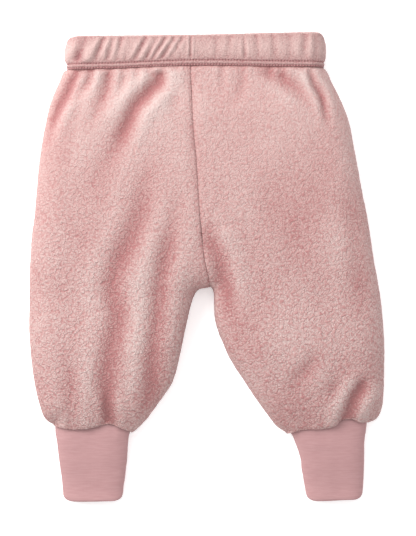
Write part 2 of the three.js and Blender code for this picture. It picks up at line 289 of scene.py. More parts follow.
RIGHT_FOLDS = [
    ([(46, 158), (53, 153), (61.6, 147.6), (76.3, 135.5), (84, 120)], 2.5, 5.2, 0.1, 0.5),
    ([(80.4, 158), (85.7, 144.2), (91.6, 133.9), (94.8, 118.4), (98, 102)], 3.4, 2.9, 0.06, 0.6),
    ([(33, 158), (30, 148), (26, 136), (13, 121)], 0.8, 4.2, 0.1, 0.6),
    ([(60, 158), (62, 151), (66, 144)], 1.2, 2.8, 0.1, 0.6),
    ([(-1.5, 40), (4.5, 20), (11.5, 3.6), (14.2, -13), (19, -33.6), (25, -55)], 3.0, 6.6, 0.25, 0.5),
    ([(-2, 34), (12, 32.5), (26, 34.5), (40, 32)], 0.5, 3.0, 0.1, 0.6),
    ([(88, -60), (83, -75.4), (71.9, -89.7), (66, -104)], 1.6, 5.5, 0.35, 0.5),
    ([(127, -82), (123.2, -92.8), (116.3, -104.7), (110.5, -122)], 5.0, 5.0, 0.35, 0.0),
    ([(108, -84), (101, -96), (95, -110)], 1.3, 5.5, 0.4, 0.5),
    ([(62, 60), (70, 20), (86, -20)], 0.5, 16.0, 0.4, 0.4),
    ([(110, 70), (117, 30), (121, -20), (124, -60)], 1.3, 8.0, 0.3, 0.4),
]
# The back, which lies on the surface: shorter gathers under the waistband, and a few long soft folds.
BACK_FOLDS = {
    -1: [
        ([(-92, 158), (-98, 134), (-104, 110)], 1.6, 4.5, 0.05, 0.6),
        ([(-66, 158), (-68, 138), (-74, 112)], 1.4, 4.5, 0.05, 0.6),
        ([(-38, 158), (-40, 140), (-44, 118)], 1.5, 4.0, 0.05, 0.6),
        ([(-56, 60), (-66, 10), (-70, -50), (-76, -110)], 1.4, 8.0, 0.3, 0.2),
        ([(-98, 20), (-104, -40), (-100, -110)], 1.2, 8.0, 0.4, 0.2),
    ],
    1: [
        ([(20, 158), (24, 136), (30, 112)], 1.4, 4.5, 0.05, 0.6),
        ([(52, 158), (56, 138), (62, 116)], 1.6, 4.5, 0.05, 0.6),
        ([(76, 158), (84, 132), (92, 106)], 1.5, 4.0, 0.05, 0.6),
        ([(60, 50), (70, 0), (80, -60), (92, -112)], 1.4, 8.0, 0.3, 0.2),
        ([(100, 0), (112, -50), (112, -108)], 1.2, 8.0, 0.4, 0.2),
    ],
}


def fold_depth(folds, xy):
    """How far the folds lower (negative) or raise the cloth at each point, in mm."""
    total = np.zeros(len(xy))
    for points, depth, width, fade_in, fade_out in folds:
        line, _ = line_through(points, 50)
        low, high = line.min(0) - 4 * width, line.max(0) + 4 * width
        near = np.all((xy > low) & (xy < high), axis=1)
        if not near.any():
            continue
        r, t = distance_to(line, xy[near])
        strength = np.ones(len(t))
        if fade_in:
            strength *= smoothstep(t, 0, fade_in)
        if fade_out:
            strength *= 1 - smoothstep(t, 1 - fade_out, 1)
        valley = -np.exp(-((r / width) ** 2))
        shoulder = 0.42 * np.exp(-(((r - 2.1 * width) / (1.05 * width)) ** 2))
        total[near] += 0.72 * depth * strength * (valley + shoulder)
    return total


# ---- Fleece panels ----
PANEL_TOP = 158.5  # where the outlines above end
TUCK = 3.4  # how far the panels go up between the waistband's layers
PUSH = 2.7  # how far they are pressed in there
loft_of = monotone([164, 157, 118, 60, -17, -67, -105, -123], [26.0, 26.0, 30.5, 31.5, 31.5, 35, 32, 27])
roundness_of = monotone([158.5, 118, 0, -70, -123], [13, 20, 25, 27, 15])
EDGE_STEP = 4  # rows and columns of the outer skin to each one of the inner skin
BODY_ROWS, CAP_ROWS, HOOK_ROWS = 264, 16, 4
FRONT_COLUMNS, BACK_COLUMNS = 144, 116
CAP = 13.0  # of the edge curves' last stretch, over which the fleece rolls in to the cuff


def lowest_nearby(values, reach):
    """For each point of a grid, the lowest value within a few rows and columns."""
    for axis in (0, 1):
        count = values.shape[axis]
        padded = np.pad(values, [(reach, reach) if k == axis else (0, 0) for k in (0, 1)], mode="edge")
        shifted = [np.take(padded, np.arange(k, k + count), axis=axis) for k in range(2 * reach + 1)]
        values = np.min(shifted, axis=0)
    return values


def panel_levels(length):
    """For each row: how far along the edge curves it lies, and its shares of full loft and of the hook."""
    body = np.linspace(0, 1 - CAP / length, BODY_ROWS, endpoint=False)
    phi = np.linspace(0, math.pi / 2, CAP_ROWS)
    cap = 1 - CAP / length * (1 - np.sin(phi))
    hook = np.linspace(0, 1, HOOK_ROWS + 2)[1:]
    along = np.concatenate([body, cap, np.full(len(hook), 1.0)])
    full = np.concatenate([np.ones(len(body)), np.cos(phi), np.zeros(len(hook))])
    hooked = np.concatenate([np.zeros(len(body) + len(phi)), hook])
    return along, full, hooked


def build_panel(shape, folds, name, material, seed):
    """One panel as a closed sheet round the leg, and its inner skin's front and back edges."""
    side = shape["side"]
    outer_line, length = line_through(shape["outer"], 900)
    inner_line, _ = line_through(SEAM + shape["free"][1:], 900)
    free_line, _ = line_through(shape["free"], 90)
    outer_near, _ = line_through(shape["outer"], 220)
    along, full, hooked = panel_levels(length)
    t = along * (len(outer_line) - 1)
    pick = lambda line: np.stack([np.interp(t, np.arange(len(line)), line[:, k]) for k in (0, 1)], axis=1)
    o, i = pick(outer_line), pick(inner_line)
    hem = {1: monotone(*zip(*shape["hem"])), -1: monotone(*zip(*shape["hem_back"]))}
    rows = len(along)

    def flat_place(u, face):
        """x, y of rows by columns u (0 at the inner edge, 1 at the outer)."""
        xy = i[:, None, :] * (1 - u[..., None]) + o[:, None, :] * u[..., None]
        to_hem = (1 - along)[:, None] * length
        xy[..., 1] += hem[face](1 - u) * np.exp(-to_hem / 16)
        return xy

    def up_to_band(xy):
        """The same places, with the top edge raised to lie between the waistband's layers."""
        raised = xy.copy()
        raised[..., 1] += (band_low(xy[..., 0]) + TUCK - PANEL_TOP) * np.exp(-(along[:, None] * length) / 9)
        return raised

    def section(xy):
        """Middle height, half height, and its share (0 at an edge, 1 inside) in front and at the back."""
        flat = xy.reshape(-1, 2)
        d_in = distance_to(free_line, flat)[0]
        d_out = distance_to(outer_near, flat)[0]
        y = flat[:, 1]
        near_end = np.repeat(full, xy.shape[1])
        loft = CUFF_LOFT + 2 * HEM_STANDOFF + (loft_of(y) - CUFF_LOFT - 2 * HEM_STANDOFF) * near_end
        roundness = loft / 2 + (roundness_of(y) - loft / 2) * near_end
        lift = BAND_LIFT * smoothstep(y, 136, 157)
        middle = CUFF_BASE + CUFF_LOFT / 2 + (lift + loft / 2 - CUFF_BASE - CUFF_LOFT / 2) * near_end
        share = lambda d, w: np.sqrt(np.clip(1 - (1 - np.clip(d / w, 0, 1)) ** 2, 0, 1))
        front = np.minimum(share(d_in, roundness), share(d_out, roundness))
        back = np.minimum(share(d_in, 0.55 * roundness), share(d_out, 0.55 * roundness))
        crown = 0.93 + 0.07 * smoothstep(np.minimum(d_in, d_out), 0.6 * roundness, 2.2 * roundness)
        return [a.reshape(xy.shape[:2]) for a in (middle, loft / 2, front * crown, back)]

    def columns_for(face, count):
        """Column places u for each row, evenly spaced along the cloth."""
        u = np.broadcast_to(np.linspace(0, 1, 160), (rows, 160)).copy()
        xy = flat_place(u, face)
        _, half, front, back = section(xy)
        z = half * (front if face > 0 else back)
        step = np.sqrt(sum(np.diff(v, axis=1) ** 2 for v in (xy[..., 0], xy[..., 1], z)))
        run = np.concatenate([np.zeros((rows, 1)), np.cumsum(step, axis=1)], axis=1)
        even = np.linspace(0, 1, count)
        return np.stack([np.interp(even * run[k, -1], run[k], u[k]) for k in range(rows)])

    def face_points(face, count):
        """Column places and points of the front (face 1) or the back (-1)."""
        u = columns_for(face, count)
        xy = flat_place(u, face)
        middle, half, front, back = section(xy)
        z = middle + face * half * (front if face > 0 else back)
        return u, np.concatenate([up_to_band(xy), z[..., None]], axis=2)

    u_front, front = face_points(1, FRONT_COLUMNS + 1)
    u_back, back = face_points(-1, BACK_COLUMNS + 1)
    gap = np.array([0.03 * side, 0, 0])  # the two panels' edges meet along the rise seam
    above = smoothstep(front[:, 0, 1], -19, -16)[:, None, None]
    fade = lambda u: (1 - smoothstep(u, 0, 0.05))[..., None]
    front = front + above * gap * fade(u_front)
    back = back + above * gap * fade(u_back)
    below = (1 - smoothstep(front[:, 0, 1], -19, -16))[:, None]
    front[..., 2] += 0.12 * below * (1 - smoothstep(u_front, 0, 0.03))
    back[..., 2] -= 0.12 * below * (1 - smoothstep(u_back, 0, 0.03))
    # The columns run round the outer edge, to the back's inner edge.
    skin = np.concatenate([front, back[:, ::-1][:, 1:]], axis=1)
    is_front = np.zeros(skin.shape[:2], bool)
    is_front[:, : FRONT_COLUMNS + 1] = True
    u_all = np.concatenate([u_front, u_back[:, ::-1][:, 1:]], axis=1)
    top = (rows // 2, FRONT_COLUMNS // 2)
    outward = grid_normals(skin, top)

    # The turned edge at the cuff: the section closes in on the cuff and runs back up inside.
    last = rows - HOOK_ROWS - 2
    flat_out = outward[last].copy()
    flat_out[:, 1] = 0
    flat_out /= np.maximum(np.linalg.norm(flat_out, axis=1, keepdims=True), 1e-6)
    for k in range(last + 1, rows):
        bend = hooked[k] * math.pi / 2
        skin[k] = skin[last] - flat_out * (HEM_STANDOFF - 0.3) * math.sin(bend)
        skin[k, :, 1] += 4.0 * (1 - math.cos(bend)) + 1.0 * hooked[k]

    # Folds, gathers and the seams' ditches, along the cloth's normal.
    flat = skin[..., :2].reshape(-1, 2)
    front_folds, back_folds = fold_depth(folds, flat), fold_depth(BACK_FOLDS[side], flat)
    to_hem = (1 - along)[:, None] * length * np.ones(skin.shape[1])
    wide = np.clip(u_all, 0, 1)
    relief = np.where(is_front, front_folds.reshape(skin.shape[:2]), 0.7 * back_folds.reshape(skin.shape[:2]))
    relief *= (0.3 + 0.7 * full)[:, None]
    edge = band_low(skin[..., 0])
    relief *= 1 - 0.5 * np.exp(-(((edge - skin[..., 1]) / 5) ** 2))
    # A fold fades where the cloth turns over the side, so that front and back meet.
    relief *= 0.25 + 0.75 * smoothstep(1 - wide, 0.0, 0.06)
    p = skin.reshape(-1, 3)
    soft = 0.6 * noise(p * [1, 0.55, 1], 46, seed) + 0.4 * noise(p * [1, 0.6, 1], 21, seed + 11)
    relief += soft.reshape(skin.shape[:2]) * smoothstep(wide, 0, 0.08)
    gather = noise(p * [1, 0.06, 0.5], 5.2, seed + 5).reshape(skin.shape[:2])
    relief += 1.0 * gather * np.exp(-((PANEL_TOP - skin[..., 1]) / 14) ** 2) * smoothstep(wide, 0, 0.1)
    relief += 0.7 * gather * np.exp(-to_hem / 15) * (0.25 + 0.75 * full)[:, None]
    seam_gap = u_all * np.linalg.norm(o - i, axis=1)[:, None]
    above_crotch = smoothstep(skin[..., 1], -26, -14)
    relief -= (0.7 * np.exp(-((seam_gap / 1.2) ** 2)) + 0.4 * np.exp(-((seam_gap / 4.5) ** 2))) * above_crotch
    relief -= 1.2 * np.exp(-((seam_gap / 1.6) ** 2)) * (1 - above_crotch)
    # The cloth is drawn in under the stitches, and pressed in between the band's two layers.
    relief -= (0.3 + smoothstep(1 - wide, 0.02, 0.1)) * np.exp(-(((edge - skin[..., 1]) / 1.9) ** 2))
    tucked = smoothstep(skin[..., 1], edge - 1.3, edge + 0.5)
    relief = np.where(is_front, relief, np.minimum(relief, 0.0))
    relief *= (1 - 0.8 * hooked[:, None]) * (1 - tucked)
    relief -= PUSH * tucked * (1 - 0.75 * np.abs(outward[..., 0]))
    smooth_skin = skin + outward * relief[..., None]
    smooth_skin[..., 2] = np.maximum(smooth_skin[..., 2], 0.05)
    smooth_normal = grid_normals(smooth_skin, top)
    q = smooth_skin.reshape(-1, 3)
    pile = curls(q, seed + 20).reshape(skin.shape[:2]) - 0.6
    tuft = noise(q, 3.4, seed + 31).reshape(skin.shape[:2])
    height = (0.22 * pile + 0.14 * tuft) * (1 - 0.8 * hooked[:, None])
    height *= (0.6 + 0.4 * smoothstep(150 - skin[..., 1], 0, 60)) * (1 - tucked)
    outer = smooth_skin + smooth_normal * height[..., None]
    meet = above_crotch * (seam_gap < 1e-6)  # the edges that the rise seam joins keep their line
    outer[..., 0] = outer[..., 0] * (1 - meet) + skin[..., 0] * meet
    layer = CLOTH * (0.5 + 0.5 * full[:, None]) * (1 - 0.3 * tucked)  # pressed thinner in the turned edge
    deep = relief + (lowest_nearby(relief, EDGE_STEP - 1) - relief) * full[:, None]
    inner = (skin + outward * (deep - layer)[..., None])[::EDGE_STEP, ::EDGE_STEP]  # clear of every fold
    points = np.concatenate([outer.reshape(-1, 3), inner.reshape(-1, 3)])
    # Crease depth for the material: painted shade where the cloth lies low (fold valleys, seam ditches,
    # gathers, the tuck under the band), painted light where it is raised.
    depth = np.clip(-relief / 3.0, -0.6, 1)
    crease_shade = np.concatenate([depth.reshape(-1), np.zeros(inner.shape[0] * inner.shape[1])])
    piece = make_mesh(name, points, two_skins(outer, inner, EDGE_STEP), material, crease_shade=crease_shade)
    return piece, inner[:, 0], inner[:, -1]


# ---- Materials ----
class Material:
    """A node material with its shader, and short ways to add what the materials here share."""

    def __init__(self, name):
        self.made = bpy.data.materials.new(name)
        self.made.use_nodes = True
        self.shader = self.made.node_tree.nodes["Principled BSDF"]

    def node(self, kind, **values):
        n = self.made.node_tree.nodes.new(kind)
        for key, value in values.items():
            setattr(n, key, value)
        return n

    def link(self, a, b):
        self.made.node_tree.links.new(a, b)

    def attribute(self, name, output):
        return self.node("ShaderNodeAttribute", attribute_name=name).outputs[output]

    def split(self, vector):
        n = self.node("ShaderNodeSeparateXYZ")
        self.link(vector, n.inputs[0])
        return n.outputs

    def maths(self, operation, a, b=None, c=None, clamp=False):
        n = self.node("ShaderNodeMath", operation=operation, use_clamp=clamp)
        for socket, value in zip(n.inputs, (a, b, c)):
            if value is None:
                continue
            if isinstance(value, (int, float)):
                socket.default_value = value
            else:
                self.link(value, socket)
        return n.outputs[0]

    def texture(self, vector, scale, detail=2.0):
        n = self.node("ShaderNodeTexNoise")
        n.inputs["Scale"].default_value = scale
        n.inputs["Detail"].default_value = detail
        self.link(vector, n.inputs["Vector"])
        return n.outputs

    def color(self, factor, stops):
        """The base colour, from a ramp with the given stops."""
        n = self.node("ShaderNodeValToRGB")
        elements = n.color_ramp.elements
        while len(elements) > len(stops):
            elements.remove(elements[-1])
        while len(elements) < len(stops):
            elements.new(1.0)
        for element, (place, color) in zip(elements, stops):
            element.position = place
            element.color = (*color, 1)
        self.link(factor, n.inputs[0])
        self.link(n.outputs[0], self.shader.inputs["Base Color"])

    def surface(self, **values):
        """The shader's own inputs, with _ for each space in their names."""
        for name, value in values.items():
            self.shader.inputs[name.replace("_", " ")].default_value = value

    def bump(self, height, strength, distance):
        n = self.node("ShaderNodeBump")
        n.inputs["Strength"].default_value = strength
        n.inputs["Distance"].default_value = distance
        self.link(height, n.inputs["Height"])
        self.link(n.outputs[0], self.shader.inputs["Normal"])


def fleece_material(name, lit_tone, base, shade_tone, grain, depth, smooth_above):
    """Curly pile: tufts about grain metres across with narrow crevices, flatter above a level in metres; its
    colour paints light on the tufts and shade in the crevices and creases.
    """
    m = Material(name)
    maths = m.maths
    place = m.attribute("cloth_place", "Vector")
    crease_shade = m.attribute("crease_shade", "Fac")
    curly_range = m.node("ShaderNodeMapRange")
    span = {"From Min": smooth_above, "From Max": smooth_above - 0.16, "To Min": 0.6, "To Max": 1.0}
    for socket, value in span.items():
        curly_range.inputs[socket].default_value = value
    m.link(m.split(place)["Y"], curly_range.inputs["Value"])
    curly = curly_range.outputs[0]
    shift = m.node("ShaderNodeVectorMath", operation="SCALE")
    shift.inputs["Scale"].default_value = 2.2 * grain
    m.link(m.texture(place, 0.7 / grain, 1.0)["Color"], shift.inputs[0])
    moved = m.node("ShaderNodeVectorMath", operation="ADD")
    m.link(place, moved.inputs[0])
    m.link(shift.outputs[0], moved.inputs[1])
    cells = m.node("ShaderNodeTexVoronoi", feature="F1")
    cells.inputs["Scale"].default_value = 1 / grain
    m.link(moved.outputs[0], cells.inputs["Vector"])
    tuft = maths("MULTIPLY_ADD", cells.outputs["Distance"], -1.35, 1.25, clamp=True)
    fibre = m.texture(place, 2.2 / grain)["Fac"]
    height = maths("ADD", maths("MULTIPLY", tuft, 0.8), maths("MULTIPLY", fibre, 0.35))
    height = maths("MULTIPLY", height, curly)
    patch = m.texture(place, 30.0, 3.0)["Fac"]
    # The pile's colour is painted light and shade: lighter tuft tops, darker crevices between them, with more
    # of this contrast and a darker tone lower down.
    pile = maths("MULTIPLY_ADD", tuft, 0.74, -0.44)
    pile = maths("MULTIPLY_ADD", fibre, 0.4, maths("SUBTRACT", pile, 0.20))
    light = maths("MULTIPLY_ADD", pile, curly, 0.69)
    light = maths("MULTIPLY_ADD", curly, -0.18, light)
    light = maths("ADD", light, maths("MULTIPLY_ADD", patch, 0.20, -0.10))
    # Painted shade: darker where the crease depth is positive, painted light where it is negative.
    light = maths("SUBTRACT", light, maths("MULTIPLY", crease_shade, 0.60), clamp=True)
    m.color(light, [(0.0, shade_tone), (0.5, base), (1.0, lit_tone)])
    m.surface(Roughness=0.95, Specular_IOR_Level=0.1)
    m.surface(Sheen_Weight=0.2, Sheen_Roughness=0.6, Sheen_Tint=(1.0, 0.88, 0.86, 1))
    m.bump(height, 0.9, depth)
    return m.made


def knit_material(name, light_tone, dark_tone):
    """Fine jersey: courses across, wales along, and faint bands."""
    m = Material(name)
    maths = m.maths
    place = m.attribute("cloth_place", "Vector")
    x, y, _ = m.split(place)
    along = maths("MULTIPLY_ADD", m.texture(place, 90.0)["Fac"], 0.0009, y)
    course = maths("SINE", maths("MULTIPLY", along, 2 * math.pi / 0.00105))
    wale = maths("SINE", maths("MULTIPLY", x, 2 * math.pi / 0.0011))
    stretched = m.node("ShaderNodeVectorMath", operation="MULTIPLY")
    stretched.inputs[1].default_value = (110.0, 900.0, 110.0)
    m.link(place, stretched.inputs[0])
    streaks = m.texture(stretched.outputs[0], 1.0, 3.0)["Fac"]
    height = maths("ADD", maths("MULTIPLY", course, 0.3), maths("MULTIPLY", wale, 0.2))
    height = maths("ADD", height, maths("MULTIPLY", streaks, 0.8))
    m.color(maths("MULTIPLY_ADD", course, 0.05, streaks), [(0.15, dark_tone), (0.9, light_tone)])
    m.surface(Roughness=0.85, Specular_IOR_Level=0.2, Sheen_Weight=0.18, Sheen_Roughness=0.4)
    m.bump(height, 0.35, 0.00025)
    return m.made


def thread_material(name, light_tone, dark_tone, pitch, roughness=0.6):
    """Twisted or woven yarn of that pitch in metres."""
    m = Material(name)
    wave = m.node("ShaderNodeTexWave", wave_type="BANDS", bands_direction="DIAGONAL")
    wave.inputs["Scale"].default_value = 0.32 / pitch
    wave.inputs["Distortion"].default_value = 1.2
    m.link(m.node("ShaderNodeTexCoord").outputs["Object"], wave.inputs["Vector"])
    m.color(wave.outputs["Fac"], [(0.1, dark_tone), (0.8, light_tone)])
    m.surface(Roughness=roughness)
    m.bump(wave.outputs["Fac"], 0.4, 0.0002)
    return m.made


# Each fleece's tones: painted light for the tuft tops, the base colour, and painted shade for crevices and
# creases.
fleece = fleece_material(
    "pink_fleece_pile", (0.535, 0.412, 0.392), (0.455, 0.276, 0.264), (0.345, 0.148, 0.146),
    grain=0.0017, depth=0.0010, smooth_above=0.12,
)
band_fleece = fleece_material(
    "pink_fleece_flat", (0.525, 0.370, 0.350), (0.425, 0.266, 0.254), (0.30, 0.132, 0.134),
    grain=0.0013, depth=0.0009, smooth_above=0.18,
)
knit = knit_material("pink_jersey", (0.46, 0.272, 0.272), (0.385, 0.212, 0.215))
thread = thread_material("pink_thread_twist", (0.50, 0.25, 0.25), (0.36, 0.15, 0.155), 0.0006)
overlock = thread_material("pink_overlock", (0.46, 0.28, 0.27), (0.30, 0.15, 0.15), 0.0012, 0.85)
elastic = thread_material("white_elastic_rib", (0.86, 0.85, 0.83), (0.70, 0.69, 0.67), 0.0014, 0.7)
label = thread_material("white_label_weave", (0.90, 0.89, 0.87), (0.80, 0.79, 0.77), 0.0005, 0.55)


# ---- Waistband ----
band_low = monotone([-111, -80, -44, 0, 60, 95], [156.2, 156.5, 158.0, 159.2, 158.3, 158.0])
band_high = monotone([-111, -98, -65, 0, 50, 90, 95], [181.6, 182.7, 182.9, 183.7, 184.9, 185.6, 184.6])
BAND_VALLEYS = [  # place at mid height, lean, depth, half width
    (-99.5, 0.35, 2.6, 3.0), (-85, 0.40, 1.6, 1.7), (-75.8, 0.25, 1.0, 1.5), (-68.7, 0.2, 0.8, 1.5),
    (-53, 0.50, 1.5, 1.6), (-44, 0.55, 1.1, 1.4), (-38.5, 0.6, 1.3, 1.5), (-31.5, 0.6, 1.2, 1.5),
    (-24, 0.5, 0.6, 1.4), (-12.0, 0.02, 1.2, 0.8), (8, 0.0, 0.4, 1.6), (18, 0.1, 0.5, 1.5),
    (30.5, -0.05, 1.0, 1.2), (41, -0.1, 0.6, 1.5), (54, -0.1, 0.7, 1.8), (66, 0.0, 0.5, 1.6),
    (77.5, 0.05, 1.0, 2.0), (86, 0.0, 0.5, 1.5),
]
STITCH_ROWS = (0.8, 4.5)  # above the band's lower edge
STITCH_LENGTH, STITCH_GAP = 1.75, 0.55


def band_frame(columns):
    """Places round the band's flattened loop: x, z and the outward direction for each column."""
    r = BAND_LOFT / 2
    width = BAND_RIGHT - BAND_LEFT
    middle = (BAND_RIGHT + BAND_LEFT) / 2
    flat, arc = width - 2 * r, math.pi * r
    s = np.linspace(0, 2 * (flat + arc), columns, endpoint=False)
    x, z, nx, nz = (np.zeros(columns) for _ in range(4))
    for k, v in enumerate(s):
        if v < flat:
            x[k], z[k], nx[k], nz[k] = middle - flat / 2 + v, 2 * r, 0, 1
        elif flat + arc <= v < 2 * flat + arc:
            x[k], z[k], nx[k], nz[k] = middle + flat / 2 - (v - flat - arc), 0, 0, -1
        else:  # round the right end, or the left one
            right = v < flat + arc
            a = math.pi / 2 - (v - flat) / r if right else -math.pi / 2 - (v - 2 * flat - arc) / r
            centre = middle + flat / 2 if right else middle - flat / 2
            nx[k], nz[k] = math.cos(a), math.sin(a)
            x[k], z[k] = centre + r * nx[k], r + r * nz[k]
    return s, x, z + BAND_LIFT, np.stack([nx, np.zeros(columns), nz], axis=1)


def pitch_of_stitches():
    around = 2 * (BAND_RIGHT - BAND_LEFT - BAND_LOFT) + math.pi * BAND_LOFT
    return around / int(around / (STITCH_LENGTH + STITCH_GAP))


def band_relief(x, share, front, s):
    """Height of the band's outer face: crowned over the elastic, gathered, pressed in along the stitches."""
    height_mm = band_high(x) - band_low(x)
    up = share * height_mm
    crown = 1.5 * np.sin(math.pi * np.clip((share - 0.16) / 0.9, 0, 1)) ** 0.8
    relief = crown - 0.6
    free = smoothstep(up, 4.0, 9.0)
    for k, (place, lean, depth, width) in enumerate(BAND_VALLEYS):
        at = place + lean * (up - height_mm / 2)
        d = np.where(front, x - at, x + 8 + 0.9 * at)
        width = 1.25 * width
        level = 0.38 + 0.4 * ((3 * k) % 5) / 4  # each gather is deepest at its own height
        edge = 0.25 + 0.95 * np.exp(-(((share - level) / 0.36) ** 2))
        valley = -np.exp(-((d / width) ** 2)) + 0.5 * np.exp(-(((np.abs(d) - 2 * width) / width) ** 2))
        relief = relief + 0.85 * depth * valley * free * edge
    p = np.stack([s + 0.35 * up, 0.12 * up, 0 * s], axis=-1).reshape(-1, 3)
    small = (noise(p, 3.6, 90) + 0.5 * noise(p * [1, 3, 1], 2.0, 91)).reshape(relief.shape)
    relief = relief + 0.28 * small * (0.35 + 0.65 * free)
    to_hole = (s + 0.5 * pitch_of_stitches()) % pitch_of_stitches() - 0.5 * pitch_of_stitches()
    for row in STITCH_ROWS:
        relief = relief - 0.6 * np.exp(-(((up - row) / 0.6) ** 2))
        relief = relief - 0.7 * np.exp(-((to_hole / 0.4) ** 2) - ((up - row) / 0.8) ** 2)
    relief = relief + 0.45 * np.exp(-(((up - sum(STITCH_ROWS) / 2) / 1.1) ** 2))
    return relief


def build_band(name, material):
    """The waistband: its outer layer, over the top, its inner layer, and back up and down between the two."""
    columns = 900
    s, x, z, out = band_frame(columns)
    low, high, gap = band_low(x), band_high(x), BAND_WALL - 2 * CLOTH
    turn, inner_low = high - 2.0, low + 1.0  # where the outer layer turns over, and the inner one ends
    across = np.concatenate([np.linspace(0, 0.28, 20), np.linspace(0.28, 1, 24)[1:]])  # finer at the stitches
    front = (z > BAND_LIFT + BAND_LOFT / 2)[None, :]
    loops = []
    for share in across:  # outer face, from the lower edge to the top
        rise = band_relief(x[None, :], np.full((1, columns), share), front, s[None, :])[0]
        loops.append((low + share * (turn - low), rise))
    top_relief = loops[-1][1]
    rounded = []
    for a in np.linspace(0, math.pi, 9)[1:-1]:  # over the top
        r = BAND_WALL / 2
        rise = top_relief * (1 + math.cos(a)) / 2 - r * (1 - math.cos(a))
        rounded.append((turn + 0.57 * r * math.sin(a), rise))
    inside = []
    for share in across[::-2]:  # inner layer, down again
        y = inner_low + share * (high - low - 1.0)
        ripple = 0.4 * noise(np.stack([s, 0.1 * y, 0 * s], axis=1), 4.2, 95)
        inside.append((y, -BAND_WALL + ripple - 0.4))
    for share in np.linspace(0, 1, 5):  # its other face, up to the fold
        inside.append((inner_low + share * (high - low - 4.0), -CLOTH - gap + 0 * x))
    for share in np.linspace(1, 0, 5):  # the outer layer's inner face, down to the lower edge
        inside.append((low + 0.3 + share * (high - low - 3.3), -CLOTH + 0 * x))
    g = np.array([np.stack([x, y, z], axis=1) + out * rise[:, None] for y, rise in loops + rounded + inside])
    n = grid_normals(g, (10, 40), closed_columns=True)
    p = g.reshape(-1, 3)
    fuzz = (0.16 * (curls(p, 60) - 0.6) + 0.07 * noise(p, 2.2, 61)).reshape(g.shape[:2])
    g = g + n * fuzz[..., None]
    # The corners at the top of each end are rounded.
    end = np.maximum(BAND_LEFT + BAND_CORNER - g[..., 0], g[..., 0] - (BAND_RIGHT - BAND_CORNER))
    drop = np.clip(end, 0, BAND_CORNER)
    top_y = band_high(g[..., 0])
    near_top = smoothstep(g[..., 1], top_y - 9, top_y)
    g[..., 1] -= near_top * (BAND_CORNER - np.sqrt(np.maximum(BAND_CORNER**2 - drop**2, 0))) * 0.8
    g[..., 2] = np.maximum(g[..., 2], 0.05)
    relief = np.array([r for _, r in loops] + [r for _, r in rounded] + [0 * x for _ in inside])
    outside = np.concatenate([np.ones(len(loops)), np.zeros(len(rounded) + len(inside))])
    # Crease depth: painted shade in the gathers' valleys and the stitch grooves, painted light on the crown
    # and ridges of the outer face.
    crease_shade = np.clip(-(relief - 0.4) / 2.2, -0.5, 1) * outside[:, None]
    return make_mesh(name, g.reshape(-1, 3), ring_faces(g), material, crease_shade=crease_shade.reshape(-1))


def build_stitches(name, row, material):
    """One row of separate stitches round the band, each a short rounded length of thread."""
    radius = 0.34
    s, x, z, out = band_frame(3000)
    pitch = pitch_of_stitches()
    count = round((s[-1] + s[1]) / pitch)
    points, faces = [], []
    around, along = 6, 5  # points round each stitch, and along it
    for k in range(count):
        base = len(points)
        for j in range(along):
            f = j / (along - 1)
            at = k * pitch + STITCH_GAP / 2 + f * (pitch - STITCH_GAP)
            cx, cz = np.interp(at, s, x), np.interp(at, s, z)
            n = np.array([np.interp(at, s, out[:, 0]), 0, np.interp(at, s, out[:, 2])])
            n /= np.linalg.norm(n)
            front = cz > BAND_LIFT + BAND_LOFT / 2
            low, high = float(band_low(cx)), float(band_high(cx))
            share = row / (high - low)
            rise = float(band_relief(*(np.array([[v]]) for v in (cx, share, front, at)))[0, 0])
            arch = math.sin(math.pi * f)
            centre = np.array([cx, low + row, cz]) + n * (rise + 0.02 + 0.28 * arch)
            r = radius * (0.55 + 0.45 * arch)
            for m in range(around):
                a = 2 * math.pi * m / around
                points.append(centre + r * (math.cos(a) * n + math.sin(a) * np.array([0, 1, 0])))
        for j in range(along - 1):
            for m in range(around):
                m2 = (m + 1) % around
                a, b = base + j * around, base + (j + 1) * around
                faces.append([a + m, b + m, b + m2, a + m2])
        faces.append([base + m for m in range(around)])
        last = base + (along - 1) * around
        faces.append([last + m for m in reversed(range(around))])
    p = np.array(points)
    p[:, 2] = np.maximum(p[:, 2], 0.05)
    tri = [(f[0], f[1], f[2]) for f in faces if len(f) == 4]
    a, b, c = (p[[t[k] for t in tri]] for k in range(3))
    middle = p.reshape(-1, along * around, 3).mean(1)
    outward = ((a + b + c) / 3 - middle[np.array([t[0] for t in tri]) // (along * around)])
    if (outward * np.cross(b - a, c - a)).sum() < 0:
        faces = [f[::-1] for f in faces]
    return make_mesh(name, p, faces, material)


def build_elastic(name, material):
    """The elastic loop, between the two layers of the band and above the stitches."""
    _, x, z, out = band_frame(240)
    low, high = band_low(x) + STITCH_ROWS[1] + 1.0, band_high(x) - 3.6
    near, far = -2.85, -4.15  # its two faces, below the band's outer face
    profile = [(0, near), (0.25, near), (0.5, near), (0.75, near), (1, near), (1, far), (0.5, far), (0, far)]
    rings = [np.stack([x, low + f * (high - low), z], axis=1) + out * depth for f, depth in profile]
    return make_mesh(name, np.concatenate(rings), ring_faces(np.array(rings)), material)


